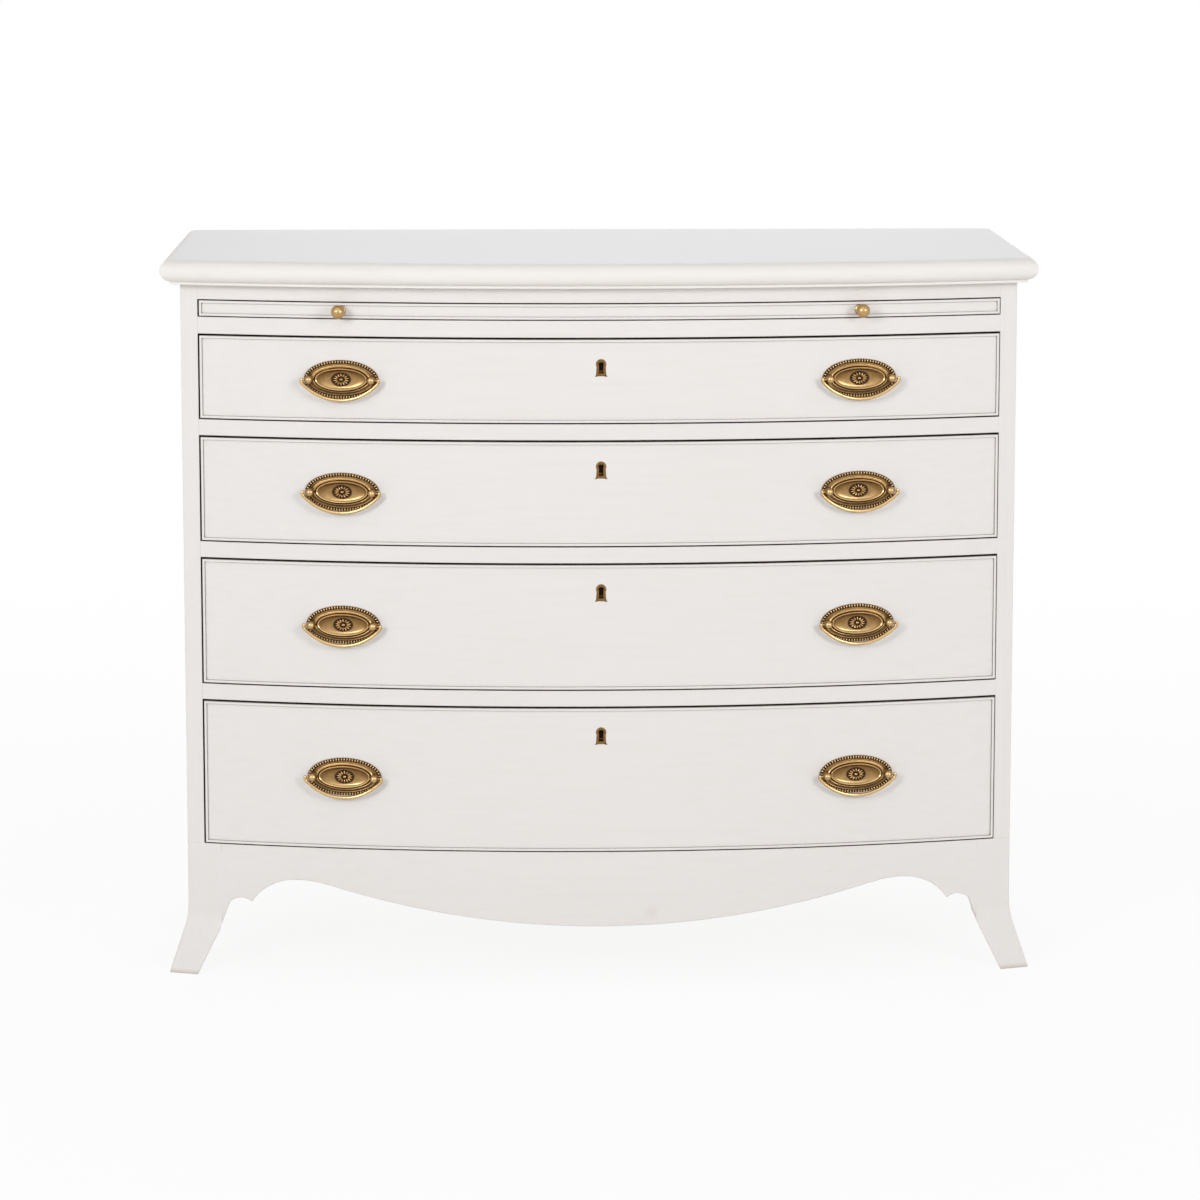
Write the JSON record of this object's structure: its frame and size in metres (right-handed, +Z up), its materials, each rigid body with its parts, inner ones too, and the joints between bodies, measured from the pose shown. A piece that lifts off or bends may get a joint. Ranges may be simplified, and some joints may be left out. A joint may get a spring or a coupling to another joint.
{
  "type": "bow front chest of drawers",
  "caption": "Bow-fronted chest of graduated drawers under a brushing slide, on splayed feet with a shaped apron, painted white with oval brass pulls.",
  "frame": {"origin": "on the floor below the middle of the top board", "axes": "+X to the right of someone facing the chest, front along -Y, +Z up"},
  "size_m": [1.07, 0.5219, 0.888],
  "materials": {
    "painted_wood": "brushed off-white paint, satin, rubbed at the edges",
    "bare_wood": "unpainted softwood, waxed by use",
    "antique_brass": "aged lacquered brass, dark in the recesses",
    "lock_steel": "dull worn steel"
  },
  "bodies": {
    "carcass": {"top_board": "painted_wood", "side_left": "painted_wood", "side_right": "painted_wood", "back_boards": "bare_wood", "frieze_rail": "painted_wood", "slide_rail": "painted_wood", "drawer_rail_1": "painted_wood", "drawer_rail_2": "painted_wood", "drawer_rail_3": "painted_wood", "drawer_runners": "bare_wood", "dustboards": "bare_wood", "drawer_stops": "bare_wood", "bottom_board": "bare_wood", "front_apron": "painted_wood", "side_apron_left": "painted_wood", "side_apron_right": "painted_wood", "front_foot_left": "painted_wood", "front_foot_right": "painted_wood", "rear_foot_left": "painted_wood", "rear_foot_right": "painted_wood", "glue_blocks": "bare_wood"},
    "slide": {"slide_board": "painted_wood", "slide_bead": "painted_wood", "slide_knobs": "antique_brass"},
    "drawer_1": {"drawer_1_front": "painted_wood", "drawer_1_box": "bare_wood", "drawer_1_bottom": "bare_wood", "drawer_1_bead": "painted_wood", "drawer_1_lock": "antique_brass", "drawer_1_pull_plates": "antique_brass"},
    "drawer_1_lock_bolt": {"drawer_1_bolt": "lock_steel"},
    "drawer_1_handle_left": {"drawer_1_bail_left": "antique_brass"},
    "drawer_1_handle_right": {"drawer_1_bail_right": "antique_brass"},
    "drawer_2": {"drawer_2_front": "painted_wood", "drawer_2_box": "bare_wood", "drawer_2_bottom": "bare_wood", "drawer_2_bead": "painted_wood", "drawer_2_lock": "antique_brass", "drawer_2_pull_plates": "antique_brass"},
    "drawer_2_lock_bolt": {"drawer_2_bolt": "lock_steel"},
    "drawer_2_handle_left": {"drawer_2_bail_left": "antique_brass"},
    "drawer_2_handle_right": {"drawer_2_bail_right": "antique_brass"},
    "drawer_3": {"drawer_3_front": "painted_wood", "drawer_3_box": "bare_wood", "drawer_3_bottom": "bare_wood", "drawer_3_bead": "painted_wood", "drawer_3_lock": "antique_brass", "drawer_3_pull_plates": "antique_brass"},
    "drawer_3_lock_bolt": {"drawer_3_bolt": "lock_steel"},
    "drawer_3_handle_left": {"drawer_3_bail_left": "antique_brass"},
    "drawer_3_handle_right": {"drawer_3_bail_right": "antique_brass"},
    "drawer_4": {"drawer_4_front": "painted_wood", "drawer_4_box": "bare_wood", "drawer_4_bottom": "bare_wood", "drawer_4_bead": "painted_wood", "drawer_4_lock": "antique_brass", "drawer_4_pull_plates": "antique_brass"},
    "drawer_4_lock_bolt": {"drawer_4_bolt": "lock_steel"},
    "drawer_4_handle_left": {"drawer_4_bail_left": "antique_brass"},
    "drawer_4_handle_right": {"drawer_4_bail_right": "antique_brass"}
  },
  "joints": [
    {"name": "slide_travel", "type": "slide", "parent": "carcass", "child": "slide", "axis": [0, -1, 0], "range_m": [0, 0.28]},
    {"name": "drawer_1_travel", "type": "slide", "parent": "carcass", "child": "drawer_1", "axis": [0, -1, 0], "range_m": [0, 0.3]},
    {"name": "drawer_1_bolt_throw", "type": "slide", "parent": "drawer_1", "child": "drawer_1_lock_bolt", "axis": [0, 0, 1], "range_m": [0, 0.007]},
    {"name": "drawer_1_bail_left_swing", "type": "hinge", "parent": "drawer_1", "child": "drawer_1_handle_left", "pos_m": [-0.31652, -0.21703, 0.744], "axis": [-0.9871, 0.1599, 0], "range_deg": [0, 105]},
    {"name": "drawer_1_bail_right_swing", "type": "hinge", "parent": "drawer_1", "child": "drawer_1_handle_right", "pos_m": [0.31652, -0.21703, 0.744], "axis": [-0.9871, -0.1599, 0], "range_deg": [0, 105]},
    {"name": "drawer_2_travel", "type": "slide", "parent": "carcass", "child": "drawer_2", "axis": [0, -1, 0], "range_m": [0, 0.3]},
    {"name": "drawer_2_bolt_throw", "type": "slide", "parent": "drawer_2", "child": "drawer_2_lock_bolt", "axis": [0, 0, 1], "range_m": [0, 0.007]},
    {"name": "drawer_2_bail_left_swing", "type": "hinge", "parent": "drawer_2", "child": "drawer_2_handle_left", "pos_m": [-0.31652, -0.21703, 0.606], "axis": [-0.9871, 0.1599, 0], "range_deg": [0, 105]},
    {"name": "drawer_2_bail_right_swing", "type": "hinge", "parent": "drawer_2", "child": "drawer_2_handle_right", "pos_m": [0.31652, -0.21703, 0.606], "axis": [-0.9871, -0.1599, 0], "range_deg": [0, 105]},
    {"name": "drawer_3_travel", "type": "slide", "parent": "carcass", "child": "drawer_3", "axis": [0, -1, 0], "range_m": [0, 0.3]},
    {"name": "drawer_3_bolt_throw", "type": "slide", "parent": "drawer_3", "child": "drawer_3_lock_bolt", "axis": [0, 0, 1], "range_m": [0, 0.007]},
    {"name": "drawer_3_bail_left_swing", "type": "hinge", "parent": "drawer_3", "child": "drawer_3_handle_left", "pos_m": [-0.31652, -0.21703, 0.44175], "axis": [-0.9871, 0.1599, 0], "range_deg": [0, 105]},
    {"name": "drawer_3_bail_right_swing", "type": "hinge", "parent": "drawer_3", "child": "drawer_3_handle_right", "pos_m": [0.31652, -0.21703, 0.44175], "axis": [-0.9871, -0.1599, 0], "range_deg": [0, 105]},
    {"name": "drawer_4_travel", "type": "slide", "parent": "carcass", "child": "drawer_4", "axis": [0, -1, 0], "range_m": [0, 0.3]},
    {"name": "drawer_4_bolt_throw", "type": "slide", "parent": "drawer_4", "child": "drawer_4_lock_bolt", "axis": [0, 0, 1], "range_m": [0, 0.007]},
    {"name": "drawer_4_bail_left_swing", "type": "hinge", "parent": "drawer_4", "child": "drawer_4_handle_left", "pos_m": [-0.31652, -0.21703, 0.25215], "axis": [-0.9871, 0.1599, 0], "range_deg": [0, 105]},
    {"name": "drawer_4_bail_right_swing", "type": "hinge", "parent": "drawer_4", "child": "drawer_4_handle_right", "pos_m": [0.31652, -0.21703, 0.25215], "axis": [-0.9871, -0.1599, 0], "range_deg": [0, 105]}
  ]
}
